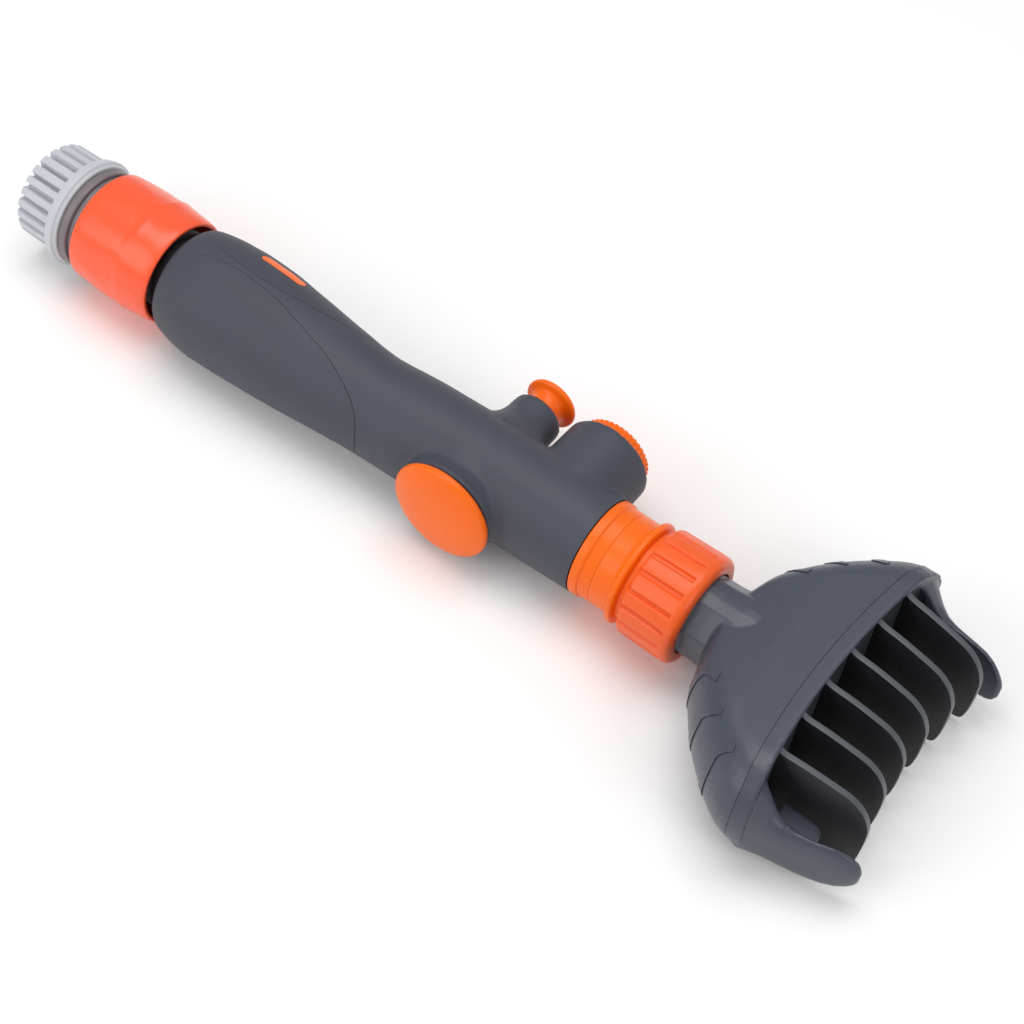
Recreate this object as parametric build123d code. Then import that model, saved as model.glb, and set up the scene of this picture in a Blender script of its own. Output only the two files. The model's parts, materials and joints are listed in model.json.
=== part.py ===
from build123d import *
import os

os.makedirs("parts", exist_ok=True)

# Filter cartridge cleaning wand: a hose connector, a grip with a push valve and a flow
# regulator, and a comb head that swivels in a union nut.
# +X runs along the wand from the hose tail to the head, +Z is up, and the water way is on X.

# ---- driving dimensions, mm ----
GAP = 0.3                 # clearance between pieces that move past each other
FIT = 0.07                # radial running clearance of a sliding or turning fit

# hose nut
NUT_LENGTH = 17.2
NUT_RIB_LENGTH = 12.6
NUT_R = 15.6
NUT_FLANGE_R = 17.6
NUT_RIBS = 24
NUT_MOUTH_R = 9.5
NUT_THREAD_R = 13.2

# connector body and hose tail
TAIL_R = 6.5
TAIL_BORE_R = 4.5
TAIL_LENGTH = 14.0
CONNECTOR_END_X = 50.0
CONNECTOR_BORE_R = 9.2
CONNECTOR_BORE_X = 24.0
CONNECTOR_RING_R = 16.0
CONNECTOR_R = 12.9
SHOULDER_X = 28.0

# release sleeve and its spring
SLEEVE_REAR_X = 23.2
SLEEVE_FRONT_X = 53.1
SLEEVE_REAR_R = 17.4
SLEEVE_CREST_R = 18.2
SLEEVE_CREST_X = 41.0
SLEEVE_FRONT_R = 17.0
SLEEVE_TRAVEL = 4.0
SPRING_WIRE_R = 0.5
SPRING_R = 14.1
SPRING_TURNS = 4

# lock claws, which the sleeve's cone lets out as it is drawn back
CLAWS = 3
CLAW_X = 41.0
CLAW_LENGTH = 4.0
CLAW_WIDTH = 6.0
CLAW_TIP_R = 8.2
CLAW_BACK_R = 12.9
CONE_SLOPE = 0.275

# inlet spigot
SPIGOT_NOSE_X = 27.2
SPIGOT_R = 8.0
SPIGOT_RIDGE_R = 8.8
SPIGOT_GROOVE_R = 7.5
SPIGOT_FLANGE_R = 12.8
ORING_X = 32.0
ORING_WIRE_R = 1.0

# handle: grip, core and palm pads
HANDLE_REAR_X = 55.4
HANDLE_FRONT_X = 206.3
# stations along the grip: distance along X, sideways offset of its centre, radius
GRIP_STATIONS = [
    (HANDLE_REAR_X, -0.3, 15.7),
    (58.0, -0.5, 17.2),
    (74.0, -0.6, 19.1),
    (88.0, -0.6, 18.5),
    (108.0, -1.4, 16.6),
    (127.0, -1.6, 15.0),
    (145.0, -0.4, 15.4),
    (175.0, 0.0, 15.4),
    (HANDLE_FRONT_X, 0.0, 14.8),
]
CORE_R = 11.0
WATER_R = 6.0
TENON_R = 8.2
TENON_LENGTH = 8.0
OUTLET_TENON = 4.0
PAD_DEPTH = 1.6
PAD_STRAIGHT_X = 104.0
PAD_NOSE = 30.0
PAD_HEIGHT = 19.0
INLAY_X = 84.0
INLAY_Y = 10.0
INLAY_LENGTH = 16.0
INLAY_WIDTH = 3.5
INLAY_DEPTH = 1.0

# push valve, which slides along Y through the grip
VALVE_X = 166.1
VALVE_TRAVEL = 5.0
SPOOL_R = 4.93
SPOOL_NECK_R = 2.6
PORT_HALF = 1.8
PORT_HEIGHT = 10.0
VALVE_TUBE_R = 7.2
BUTTON_R = 15.84
BUTTON_BACK_Y = -17.5
BUTTON_CROWN_Y = -22.4
BUTTON_SEAT_Y = -17.2
KNOB_BOSS_R = 8.1
KNOB_BOSS_Y = 26.3
KNOB_STEM_R = 5.2
KNOB_R = 8.3
KNOB_END_Y = 33.4
SEAL_WIRE_R = 0.48

# flow regulator in the large boss
FLOW_X = 190.6
FLOW_BOSS_R = 13.85
FLOW_BOSS_Y = 26.7
FLOW_BORE_R = 9.6
FLOW_TUBE_R = 12.0
FLOW_CAP_R = 11.5
FLOW_CAP_Y = 30.8
FLOW_CAP_RIBS = 40

# outlet: trim collar, nipple and union nut
COLLAR_X = 206.6
COLLAR_R = 14.8
COLLAR_END_X = 213.3
NIPPLE_R = 14.2
BEAD_X = 220.6
BEAD_R = 15.9
THREAD_R = 13.6
NIPPLE_END_X = 236.2
UNION_REAR_X = 224.0
UNION_FRONT_X = 243.0
UNION_R = 16.8
UNION_FLUTES = 18
UNION_MOUTH_R = 12.7

# comb head
NECK_X = 238.4
NECK_R = 12.4
NECK_FLANGE_R = 13.5
NECK_BORE_R = 8.0
FAN_X = 250.0
FAN_WIDE_X = 283.0
FAN_HALF_WIDTH = 50.0
FAN_NECK_HALF = 14.0
FAN_HALF_HEIGHT = 16.5
FAN_NECK_HEIGHT = 13.0
FAN_FLARE = 0.57
WALL = 2.4
SEAM_R = 240.0            # plan radius of the seam between the two head shells
SEAM_X = 277.4            # where the seam crosses the wand's axis
LIP_DEPTH = 4.6
LIP_WALL = 1.2
PLATE_REAR = 1.8           # set ahead of the seam
PLATE_FRONT = 4.2
COMB_R = 144.0            # plan radius of the arc that the fin fronts follow
COMB_X = 308.6
COMB_MEET = 334.0          # how far ahead of their roots the fins would meet
FINS = 6
FIN_PITCH = 12.58
FIN_THICK = 1.8
CHEEK_TIP_X = 316.0
CHEEK_TIP_Y = 38.0
CHEEK_TIP_THICK = 2.6
CHEEK_ROOT_Y = 40.0
JET_R = 0.9


# ---- shapes that many pieces start from ----
def turned(*outline):
    """A solid of revolution about the wand's axis, from (x, radius) corners."""
    return revolve(make_face(Polyline(*outline, close=True)), Axis.X)


def turned_across(centre_x, *outline):
    """A solid of revolution about a line along Y at centre_x, from (radius, y) corners."""
    corners = [(centre_x + radius, y) for radius, y in outline]
    return revolve(make_face(Polyline(*corners, close=True)), Axis((centre_x, 0, 0), (0, 1, 0)))


def rod(start_x, end_x, radius):
    """A round bar along X."""
    return Plane((start_x, 0, 0), z_dir=(1, 0, 0)) * extrude(Circle(radius), end_x - start_x)


def cross_rod(centre_x, start_y, end_y, radius):
    """A round bar along Y."""
    return Plane((centre_x, start_y, 0), z_dir=(0, 1, 0)) * extrude(Circle(radius), end_y - start_y)


def ring_about_x(centre_x, ring_r, wire_r):
    """An o-ring on the wand's axis."""
    wire = Pos(centre_x, ring_r) * Circle(wire_r)
    return revolve(wire, Axis.X)


def ring_about_y(centre_x, centre_y, ring_r, wire_r):
    """An o-ring on a line along Y."""
    wire = Pos(centre_x + ring_r, centre_y) * Circle(wire_r)
    return revolve(wire, Axis((centre_x, 0, 0), (0, 1, 0)))


def block(low, high):
    """A box between two opposite corners."""
    size = [b - a for a, b in zip(low, high)]
    middle = [(a + b) / 2 for a, b in zip(low, high)]
    return Pos(*middle) * Box(*size)


def around_x(shape, count):
    """Copies of a shape, evenly turned about the wand's axis."""
    return [Rot(360 * i / count, 0, 0) * shape for i in range(count)]


# ---- hose connector ----
def hose_nut():
    """Ribbed nut with a flange, screwed over the hose collet."""
    body = turned(
        (0, NUT_MOUTH_R), (0, NUT_R - 0.8), (0.8, NUT_R), (NUT_RIB_LENGTH, NUT_R + 0.6),
        (NUT_RIB_LENGTH, NUT_FLANGE_R - 0.9), (NUT_LENGTH - 1, NUT_FLANGE_R),
        (NUT_LENGTH, NUT_FLANGE_R - 0.6), (NUT_LENGTH, NUT_THREAD_R), (2.6, NUT_THREAD_R),
        (2.6, NUT_MOUTH_R),
    )
    groove_depth = 1.0
    groove = block((-1, -0.9, NUT_R - groove_depth), (NUT_RIB_LENGTH - 0.4, 0.9, NUT_R + 3))
    for cutter in around_x(groove, NUT_RIBS):
        body -= cutter
    return body


def hose_collet():
    """Split ring whose fingers grip the hose as the nut is tightened."""
    ring = turned(
        (3.2, 9.6), (3.2, 11.2), (5.0, 12.4), (15.4, 12.4), (15.4, 9.6),
    )
    slot = block((3.0, -0.75, 8.0), (12.0, 0.75, 14.0))
    for cutter in around_x(slot, 8):
        ring -= cutter
    return ring


def connector_body():
    """Barbed hose tail, thread root, stop ring and the barrel that takes the spigot."""
    tail = turned(
        (0, TAIL_BORE_R), (0, TAIL_R), (TAIL_LENGTH, TAIL_R), (TAIL_LENGTH, 7.4),
        (16.0, 7.4), (16.0, 12.8), (17.4, 12.8), (17.4, CONNECTOR_RING_R),
        (20.4, CONNECTOR_RING_R), (20.4, 14.8), (SHOULDER_X, 14.8), (SHOULDER_X, CONNECTOR_R),
        (CONNECTOR_END_X, CONNECTOR_R), (CONNECTOR_END_X, CONNECTOR_BORE_R),
        (CONNECTOR_BORE_X, CONNECTOR_BORE_R), (CONNECTOR_BORE_X, TAIL_BORE_R),
    )
    window = block(
        (CLAW_X - GAP, -CLAW_WIDTH / 2 - GAP, CONNECTOR_BORE_R - 2),
        (CLAW_X + CLAW_LENGTH + GAP, CLAW_WIDTH / 2 + GAP, CONNECTOR_R + 2),
    )
    for cutter in around_x(window, CLAWS):
        tail -= cutter
    return tail


def connector_seal():
    """Flat rubber ring at the bottom of the connector's bore."""
    return rod(CONNECTOR_BORE_X, CONNECTOR_BORE_X + 2.6, CONNECTOR_BORE_R) - rod(0, 60, 5.2)


def release_sleeve():
    """Sleeve drawn back to free the spigot, with a cone inside that lets the claws out."""
    cone_end = CLAW_X + CLAW_LENGTH + SLEEVE_TRAVEL
    cone_start_r = CLAW_BACK_R + GAP
    cone_end_r = cone_start_r + CONE_SLOPE * (cone_end - CLAW_X)
    return turned(
        (SLEEVE_REAR_X, CONNECTOR_RING_R + GAP), (SLEEVE_REAR_X, SLEEVE_REAR_R),
        (32.0, SLEEVE_REAR_R + 0.6), (SLEEVE_CREST_X, SLEEVE_CREST_R),
        (SLEEVE_CREST_X + 5, SLEEVE_CREST_R - 0.5), (SLEEVE_FRONT_X, SLEEVE_FRONT_R),
        (SLEEVE_FRONT_X, SLEEVE_FRONT_R - 1.3), (cone_end, cone_end_r), (CLAW_X, cone_start_r),
        (38.4, cone_start_r), (38.4, 14.8 + GAP), (28.4, 14.8 + GAP),
        (28.4, CONNECTOR_RING_R + GAP),
    )


def sleeve_spring():
    """Compression spring between the connector's shoulder and the sleeve's step."""
    start = SHOULDER_X + SPRING_WIRE_R + 0.05
    end = 38.4 - SPRING_WIRE_R - 0.05
    pitch = (end - start) / SPRING_TURNS
    helix = Helix(pitch, end - start, SPRING_R, center=(start, 0, 0), direction=(1, 0, 0))
    section = Plane(helix @ 0, z_dir=helix % 0) * Circle(SPRING_WIRE_R)
    return sweep(section, path=helix)


def lock_claw(index):
    """One of the claws that drop into the spigot's groove through a window."""
    outline = make_face(Polyline(
        (CLAW_X, CLAW_TIP_R), (CLAW_X, CLAW_BACK_R),
        (CLAW_X + CLAW_LENGTH, CLAW_BACK_R + CONE_SLOPE * CLAW_LENGTH),
        (CLAW_X + CLAW_LENGTH, CLAW_TIP_R), close=True,
    ))
    upright = Plane((0, CLAW_WIDTH / 2, 0), x_dir=(1, 0, 0), z_dir=(0, -1, 0)) * outline
    claw = extrude(upright, CLAW_WIDTH, dir=(0, -1, 0))
    reach = turned(
        (CLAW_X - 1, CLAW_TIP_R), (CLAW_X - 1, CLAW_BACK_R - CONE_SLOPE),
        (CLAW_X + CLAW_LENGTH + 1, CLAW_BACK_R + CONE_SLOPE * (CLAW_LENGTH + 1)),
        (CLAW_X + CLAW_LENGTH + 1, CLAW_TIP_R),
    )
    return Rot(360 * index / CLAWS, 0, 0) * (claw & reach)


# ---- inlet ----
def inlet_spigot():
    """Round nose that plugs into the connector, with a ring groove and a locking groove."""
    return turned(
        (SPIGOT_NOSE_X, WATER_R - 1), (SPIGOT_NOSE_X, SPIGOT_R - 0.8), (28.4, SPIGOT_R),
        (ORING_X - 1.2, SPIGOT_R), (ORING_X - 1.2, 7.1), (ORING_X + 1.2, 7.1),
        (ORING_X + 1.2, SPIGOT_R), (36.0, SPIGOT_R), (37.0, SPIGOT_RIDGE_R),
        (40.4, SPIGOT_RIDGE_R), (40.4, SPIGOT_GROOVE_R), (46.0, SPIGOT_GROOVE_R),
        (46.0, SPIGOT_RIDGE_R), (52.0, SPIGOT_RIDGE_R), (52.0, SPIGOT_FLANGE_R),
        (56.0, SPIGOT_FLANGE_R), (56.0, TENON_R), (56.0 + TENON_LENGTH, TENON_R),
        (56.0 + TENON_LENGTH, WATER_R - 1),
    )


def spigot_o_ring():
    """O-ring in the spigot's groove."""
    return ring_about_x(ORING_X, 7.12 + ORING_WIRE_R, ORING_WIRE_R)


# ---- handle ----
def grip_form(shrink=0.0):
    """The grip's long waisted body without its bosses, shrunk inwards by a distance."""
    sections = [
        Plane((x, offset, 0), z_dir=(1, 0, 0)) * Circle(radius - shrink)
        for x, offset, radius in GRIP_STATIONS
    ]
    return loft(sections)


def button_boss():
    """Round seat for the push button, flared into the grip."""
    flare = turned_across(
        VALVE_X, (0, 0), (20.5, 0), (19.4, -8), (16.6, -13), (15.4, BUTTON_SEAT_Y + 0.6),
        (14.8, BUTTON_SEAT_Y), (0, BUTTON_SEAT_Y),
    )
    height = GRIP_STATIONS[-2][2] - 0.8
    return flare & block((VALVE_X - 30, -30, -height), (VALVE_X + 30, 1, height))


def knob_boss():
    """Slim boss for the knob, flared into the grip."""
    return turned_across(
        VALVE_X, (0, 0), (12.0, 0), (11.4, 12), (9.0, 16.5), (KNOB_BOSS_R, 20),
        (KNOB_BOSS_R, KNOB_BOSS_Y - 0.8), (KNOB_BOSS_R - 0.8, KNOB_BOSS_Y), (0, KNOB_BOSS_Y),
    )


def flow_boss():
    """Stout boss that holds the flow regulator."""
    return turned_across(
        FLOW_X, (0, 0), (14.2, 0), (FLOW_BOSS_R, 14), (FLOW_BOSS_R, FLOW_BOSS_Y - 1.2),
        (FLOW_BOSS_R - 1.2, FLOW_BOSS_Y), (0, FLOW_BOSS_Y),
    )


def handle_core():
    """Hard inner tube with the water way and the two cross bores."""
    start, end = 56.0, HANDLE_FRONT_X - GAP
    core = rod(start, end, CORE_R)
    core += cross_rod(VALVE_X, -15.8, 22.4, VALVE_TUBE_R)
    core += cross_rod(FLOW_X, 0, 25.0, FLOW_TUBE_R)
    core -= rod(start, VALVE_X - 9, WATER_R)
    core -= rod(VALVE_X + 9, end, WATER_R)
    core -= rod(start, start + TENON_LENGTH, TENON_R)
    core -= rod(end - OUTLET_TENON, end, TENON_R)
    core -= block(
        (VALVE_X - 10, -PORT_HALF, -PORT_HEIGHT / 2), (VALVE_X + 10, PORT_HALF, PORT_HEIGHT / 2)
    )
    core -= cross_rod(VALVE_X, -20, 15, SPOOL_R + FIT)
    core -= cross_rod(VALVE_X, 14.9, 25, VALVE_TUBE_R - 1.2)
    core -= cross_rod(FLOW_X, 3.0, 26, FLOW_BORE_R)
    return core


def core_envelope():
    """The space that the grip leaves for the core."""
    space = rod(50, 220, CORE_R)
    space += cross_rod(VALVE_X, -15.8, 22.4, VALVE_TUBE_R)
    space += cross_rod(FLOW_X, 0, 25.0, FLOW_TUBE_R)
    return space


def pad_region():
    """Side view of a palm pad: straight from the rear, with a round nose."""
    straight = Rectangle(PAD_STRAIGHT_X - 50, 2 * PAD_HEIGHT + 10, align=(Align.MAX, Align.CENTER))
    nose = Ellipse(PAD_NOSE, PAD_HEIGHT)
    outline = Pos(PAD_STRAIGHT_X, 0) * (straight + nose)
    wall = Plane((0, 0, 0), x_dir=(1, 0, 0), z_dir=(0, -1, 0)) * outline
    return extrude(wall, 30, dir=(0, -1, 0))


def palm_pad(form, inner):
    """Thin soft pad on the button side of the grip."""
    return (form - inner) & pad_region()


def far_palm_pad(form, inner):
    """Matching pad on the finger side of the grip."""
    return (form - inner) & mirror(pad_region(), Plane.XZ)


def top_inlay(form, inner):
    """Plain rounded inlay let into the top of the grip."""
    bar = Pos(INLAY_X, INLAY_Y) * SlotOverall(INLAY_LENGTH, INLAY_WIDTH)
    column = Pos(0, 0, 5) * extrude(bar, 20)
    return (form - inner) & column


def grip_shell(form, pads):
    """Moulded grip with its three bosses, around the core."""
    grip = form + button_boss() + knob_boss() + flow_boss()
    grip -= core_envelope()
    grip -= rod(HANDLE_REAR_X - 1, 56.2, SPIGOT_FLANGE_R)
    grip -= cross_rod(VALVE_X, -20, 0, SPOOL_R + 1.0)
    grip -= cross_rod(VALVE_X, 20, 30, 7.4)
    grip -= cross_rod(FLOW_X, 20, 30, FLOW_BORE_R + GAP)
    for pad in pads:
        grip -= pad
    return grip


# ---- push valve ----
def push_button():
    """Domed round button on the spool's near end."""
    return turned_across(
        VALVE_X, (3.5, BUTTON_BACK_Y), (14.9, BUTTON_BACK_Y), (BUTTON_R, BUTTON_BACK_Y - 0.8),
        (BUTTON_R, BUTTON_BACK_Y - 1.8), (14.8, BUTTON_CROWN_Y + 1.3), (9.0, BUTTON_CROWN_Y + 0.3),
        (0, BUTTON_CROWN_Y), (0, BUTTON_BACK_Y - 2.2), (3.5, BUTTON_BACK_Y - 2.2),
    )


def spool_outline():
    """Spool corners from its near end to its far end, with grooves for its seals."""
    neck_start = VALVE_TRAVEL - PORT_HALF
    neck_end = VALVE_TRAVEL + PORT_HALF
    corners = [(0, BUTTON_BACK_Y - 2.2), (3.5, BUTTON_BACK_Y - 2.2), (3.5, -16.0), (SPOOL_R, -16.0)]
    for seal_y in seal_stations():
        if seal_y > neck_end and corners[-1][1] < neck_start:
            corners += [
                (SPOOL_R, neck_start), (SPOOL_NECK_R, neck_start),
                (SPOOL_NECK_R, neck_end), (SPOOL_R, neck_end),
            ]
        corners += [
            (SPOOL_R, seal_y - 0.6), (4.0, seal_y - 0.6), (4.0, seal_y + 0.6),
            (SPOOL_R, seal_y + 0.6),
        ]
    corners += [(SPOOL_R, 17.0), (3.5, 17.0), (3.5, 26.0), (0, 26.0)]
    return corners


def seal_stations():
    """Places of the spool's seals along Y: a pair round the port, one past it, one near the button."""
    reach = VALVE_TRAVEL / 2
    return [-12.0, -reach - 0.1, reach, VALVE_TRAVEL + reach + 0.1]


def valve_spool():
    """Spool whose neck opens the port when the knob is pushed home."""
    return turned_across(VALVE_X, *spool_outline())


def spool_seals():
    """O-rings of the spool."""
    ring_r = 4.02 + SEAL_WIRE_R
    return Compound([ring_about_y(VALVE_X, y, ring_r, SEAL_WIRE_R) for y in seal_stations()])


def guide_bush():
    """Countersunk bush that guides the knob's stem."""
    return turned_across(
        VALVE_X, (KNOB_STEM_R + FIT, 22.4), (7.4, 22.4), (7.4, KNOB_BOSS_Y), (7.0, KNOB_BOSS_Y),
        (KNOB_STEM_R + FIT, 23.9),
    )


def push_knob():
    """Mushroom knob on the spool's far end."""
    return turned_across(
        VALVE_X, (3.5, 20.2), (KNOB_STEM_R, 20.2), (KNOB_STEM_R, 29.2), (6.4, 31.4), (7.6, 31.5),
        (KNOB_R, 32.2), (KNOB_R, KNOB_END_Y - 0.6), (KNOB_R - 0.6, KNOB_END_Y), (0, KNOB_END_Y),
        (0, 26.0), (3.5, 26.0),
    )


# ---- flow regulator ----
def regulator_cap():
    """Knurled cap with the plug that turns in the large boss."""
    top = FLOW_CAP_Y
    cap = turned_across(
        FLOW_X, (0, 10.0), (FLOW_BORE_R - FIT, 10.0), (FLOW_BORE_R - FIT, 20.2), (8.4, 20.2),
        (8.4, 21.8), (FLOW_BORE_R - FIT, 21.8), (FLOW_BORE_R - FIT, FLOW_BOSS_Y + GAP),
        (FLOW_CAP_R, FLOW_BOSS_Y + GAP), (FLOW_CAP_R, top - 0.6), (FLOW_CAP_R - 0.6, top), (0, top),
    )
    cap -= cross_rod(FLOW_X, 9.0, 14.0, 3.0)
    knurl = block((-0.35, 26, FLOW_CAP_R - 0.4), (0.35, top + 1, FLOW_CAP_R + 1))
    for i in range(FLOW_CAP_RIBS):
        cap -= Pos(FLOW_X, 0, 0) * Rot(0, 360 * i / FLOW_CAP_RIBS, 0) * knurl
    coin_slot = block((FLOW_X - 7.5, top - 1.6, -1.0), (FLOW_X + 7.5, top + 1, 1.0))
    return cap - coin_slot


def regulator_spindle():
    """Tapered spindle that throttles the water way."""
    return turned_across(FLOW_X, (0, -2.5), (1.2, -2.5), (3.0, 1.5), (3.0, 14.0), (0, 14.0))


def regulator_seal():
    """O-ring of the regulator plug."""
    return ring_about_y(FLOW_X, 21.0, 8.42 + 0.55, 0.55)


def regulator_seat():
    """Ring at the bottom of the regulator bore that steadies the spindle."""
    return cross_rod(FLOW_X, 6.4, 8.6, FLOW_BORE_R) - cross_rod(FLOW_X, 6, 9, 3.0 + FIT)


# ---- outlet ----
def front_collar():
    """Bright trim collar at the front of the grip."""
    return turned(
        (COLLAR_X, 11.2), (COLLAR_X, COLLAR_R), (COLLAR_X + 3, COLLAR_R),
        (COLLAR_X + 3.4, NIPPLE_R), (COLLAR_END_X, NIPPLE_R), (COLLAR_END_X, 11.2),
    )


def outlet_nipple():
    """Threaded outlet with a bead, plugged into the core."""
    start = HANDLE_FRONT_X - GAP - OUTLET_TENON
    return turned(
        (start, 5.0), (start, TENON_R), (COLLAR_X, TENON_R), (COLLAR_X, 11.2),
        (COLLAR_END_X, 11.2), (COLLAR_END_X, NIPPLE_R), (BEAD_X - 1.4, NIPPLE_R),
        (BEAD_X - 0.9, BEAD_R - 0.4), (BEAD_X, BEAD_R), (BEAD_X + 0.9, BEAD_R - 0.4),
        (BEAD_X + 1.4, THREAD_R), (NIPPLE_END_X, THREAD_R), (NIPPLE_END_X, NECK_BORE_R),
        (BEAD_X, NECK_BORE_R), (BEAD_X - 4, 5.0),
    )


def union_washer():
    """Flat rubber washer between the nipple and the head."""
    return rod(NIPPLE_END_X, NECK_X - 0.1, 13.2) - rod(NIPPLE_END_X - 1, NECK_X + 1, NECK_BORE_R)


def union_nut():
    """Fluted nut that clamps the head's flange."""
    nut = turned(
        (UNION_REAR_X, THREAD_R + GAP + 0.1), (UNION_REAR_X, UNION_R - 1.0),
        (UNION_REAR_X + 0.6, UNION_R - 0.4), (UNION_FRONT_X - 2.0, UNION_R),
        (UNION_FRONT_X, UNION_R - 1.8), (UNION_FRONT_X, UNION_MOUTH_R),
        (UNION_FRONT_X - 3, UNION_MOUTH_R), (UNION_FRONT_X - 3, THREAD_R + GAP + 0.1),
    )
    flute = block(
        (UNION_REAR_X - 1, -0.7, UNION_R - 1.0), (UNION_FRONT_X - 2.6, 0.7, UNION_R + 1)
    )
    for cutter in around_x(flute, UNION_FLUTES):
        nut -= cutter
    return nut


# ---- comb head ----
def fan_section(along, inset):
    """Flat-sided section of the fan, at a share along its length from neck to widest."""
    half_width = FAN_NECK_HALF + (FAN_HALF_WIDTH - FAN_NECK_HALF) * along**FAN_FLARE - inset
    half_height = FAN_NECK_HEIGHT + (FAN_HALF_HEIGHT - FAN_NECK_HEIGHT) * along - inset
    x = FAN_X + (FAN_WIDE_X - FAN_X) * along
    outline = RectangleRounded(2 * half_width, 2 * half_height, half_height - 0.4)
    return Plane((x, 0, 0), x_dir=(0, 1, 0), z_dir=(1, 0, 0)) * outline


def fan_form(inset=0.0):
    """The fan from its neck to its widest section."""
    shares = [0.0, 0.04, 0.12, 0.26, 0.48, 0.74, 1.0]
    return loft([fan_section(share, inset) for share in shares], ruled=True)


def seam_cylinder(ahead):
    """Upright drum whose near wall is the seam, moved ahead by a distance."""
    return Pos(SEAM_X + ahead + SEAM_R, 0, 0) * Cylinder(SEAM_R, 80)


def head_rear_shell():
    """Neck and hollow fan, up to the seam."""
    shell = rod(NECK_X + 1.2, FAN_X, NECK_R) + rod(NECK_X, NECK_X + 1.2, NECK_FLANGE_R) + fan_form()
    shell -= rod(NECK_X - 1, FAN_X + 3, NECK_BORE_R)
    shell -= fan_form(WALL) & block((FAN_X + 2, -60, -30), (FAN_WIDE_X, 60, 30))
    return shell - seam_cylinder(0)


def plan_prism(corners, low_z, high_z):
    """Upright prism over a plan outline."""
    return Pos(0, 0, low_z) * extrude(make_face(Polyline(*corners, close=True)), high_z - low_z)


def cheek():
    """Side wall of the comb on the +Y side, swept inwards to its tip."""
    plan = plan_prism(
        [
            (FAN_WIDE_X - 5, FAN_HALF_WIDTH - 1.4), (FAN_WIDE_X, FAN_HALF_WIDTH - 0.2),
            (FAN_WIDE_X + 4, FAN_HALF_WIDTH - 1.6), (FAN_WIDE_X + 12, CHEEK_ROOT_Y + 5),
            (CHEEK_TIP_X - 8, CHEEK_TIP_Y + 3), (CHEEK_TIP_X, CHEEK_TIP_Y),
            (CHEEK_TIP_X - 0.6, CHEEK_TIP_Y - CHEEK_TIP_THICK), (CHEEK_TIP_X - 10, CHEEK_ROOT_Y - 1),
            (FAN_WIDE_X + 11, CHEEK_ROOT_Y), (FAN_WIDE_X + 4, CHEEK_ROOT_Y + 1),
            (FAN_WIDE_X - 5, CHEEK_ROOT_Y + 1),
        ],
        -FAN_HALF_HEIGHT, FAN_HALF_HEIGHT,
    )
    side = make_face(Polyline(
        (FAN_WIDE_X - 6, FAN_HALF_HEIGHT), (FAN_WIDE_X + 2, 14), (FAN_WIDE_X + 6, 7),
        (FAN_WIDE_X + 11, 2.2), (CHEEK_TIP_X - 8, 1.8), (CHEEK_TIP_X - 2, -2.5), (CHEEK_TIP_X, -7),
        (CHEEK_TIP_X - 1, -13), (CHEEK_TIP_X - 5, -FAN_HALF_HEIGHT),
        (FAN_WIDE_X - 6, -FAN_HALF_HEIGHT), close=True,
    ))
    wall = Plane((0, 60, 0), x_dir=(1, 0, 0), z_dir=(0, -1, 0)) * side
    half_round = Plane((FAN_WIDE_X - 6, 0, 0), x_dir=(0, 1, 0), z_dir=(1, 0, 0)) * extrude(
        RectangleRounded(2 * FAN_HALF_WIDTH, 2 * FAN_HALF_HEIGHT, FAN_HALF_HEIGHT - 0.4), 45
    )
    return (plan & extrude(wall, 60, dir=(0, -1, 0))) & half_round


def frame_hollow():
    """The round-cornered opening through the comb frame."""
    start = Plane((FAN_WIDE_X - 12, 0, 0), x_dir=(0, 1, 0), z_dir=(1, 0, 0))
    outline = RectangleRounded(2 * (CHEEK_ROOT_Y + 1), 2 * (FAN_HALF_HEIGHT - LIP_WALL), 3)
    return start * extrude(outline, 40)


def comb_frame():
    """Front shell: the lips above and below the jets, and the two cheeks."""
    full = Plane((FAN_WIDE_X - 10, 0, 0), x_dir=(0, 1, 0), z_dir=(1, 0, 0)) * extrude(
        RectangleRounded(2 * FAN_HALF_WIDTH, 2 * FAN_HALF_HEIGHT, FAN_HALF_HEIGHT - 0.4), 20
    )
    lips = full & seam_cylinder(0)
    lips = (lips & fan_plan()) - seam_cylinder(LIP_DEPTH) - frame_hollow()
    near_cheek = cheek() & seam_cylinder(0)
    return lips + near_cheek + mirror(near_cheek, Plane.XZ)


def fan_plan():
    """Plan of the fan's widest stretch, so the lips follow its outline."""
    return plan_prism(
        [
            (FAN_WIDE_X - 10, -44), (FAN_WIDE_X, -FAN_HALF_WIDTH), (FAN_WIDE_X + 10, -47),
            (FAN_WIDE_X + 10, 47), (FAN_WIDE_X, FAN_HALF_WIDTH), (FAN_WIDE_X - 10, 44),
        ],
        -30, 30,
    )


def nozzle_plate():
    """Curved wall behind the comb with one jet in each gap."""
    plate = (frame_hollow() & seam_cylinder(PLATE_REAR)) - seam_cylinder(PLATE_FRONT)
    for i in range(FINS + 1):
        y = (i - FINS / 2) * FIN_PITCH
        plate -= Pos(0, y, -4) * rod(FAN_WIDE_X - 12, FAN_WIDE_X + 12, JET_R)
    return plate


def head_gasket():
    """Thin seal between the rear shell and the nozzle plate."""
    band = block(
        (FAN_WIDE_X - 12, -CHEEK_ROOT_Y, -14.2), (FAN_WIDE_X + 12, CHEEK_ROOT_Y, 14.2)
    )
    inner = block(
        (FAN_WIDE_X - 14, -CHEEK_ROOT_Y + 2, -12.4), (FAN_WIDE_X + 14, CHEEK_ROOT_Y - 2, 12.4)
    )
    return ((band - inner) & seam_cylinder(0)) - seam_cylinder(PLATE_REAR)


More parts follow.
